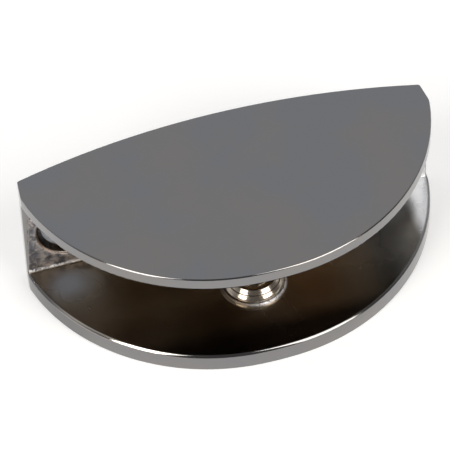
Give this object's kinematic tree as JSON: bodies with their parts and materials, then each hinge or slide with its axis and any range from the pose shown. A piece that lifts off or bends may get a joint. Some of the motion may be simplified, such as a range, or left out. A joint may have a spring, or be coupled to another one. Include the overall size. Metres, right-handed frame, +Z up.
{
  "type": "glass panel clamp",
  "caption": "Half-moon cast clamp with a flat top and bottom plate joined at the back, screw seats in the wall and a screw-driven round pad that grips the edge of a glass panel.",
  "frame": {"origin": "on the flat underside, below the middle of the line that joins the two back corners", "axes": "+X along the clamp, +Y towards the wall behind it, +Z up through the top plate"},
  "size_m": [0.0754, 0.0391, 0.024],
  "materials": {
    "body_chrome": "polished chrome plating on a zinc casting, left rough inside the slot",
    "screw_steel": "zinc-plated steel thread",
    "pad_nickel": "turned and nickel plated, warm tone"
  },
  "bodies": {
    "clamp": {"clamp_body": "body_chrome"},
    "pad": {"pressure_pad": "pad_nickel"},
    "screw": {"clamp_screw": "screw_steel"}
  },
  "joints": [
    {"name": "pad_travel", "type": "slide", "parent": "clamp", "child": "pad", "axis": [0, 0, 1], "range_m": [0, 0.0025]},
    {"name": "screw_turn", "type": "hinge", "parent": "pad", "child": "screw", "pos_m": [0, -0.0184, 0.0044], "axis": [0, 0, 1], "range_deg": [0, 1200]}
  ],
  "couplings": [
    {"joint": "screw_turn", "follows": "pad_travel", "rad_per_m": 8377.6}
  ]
}
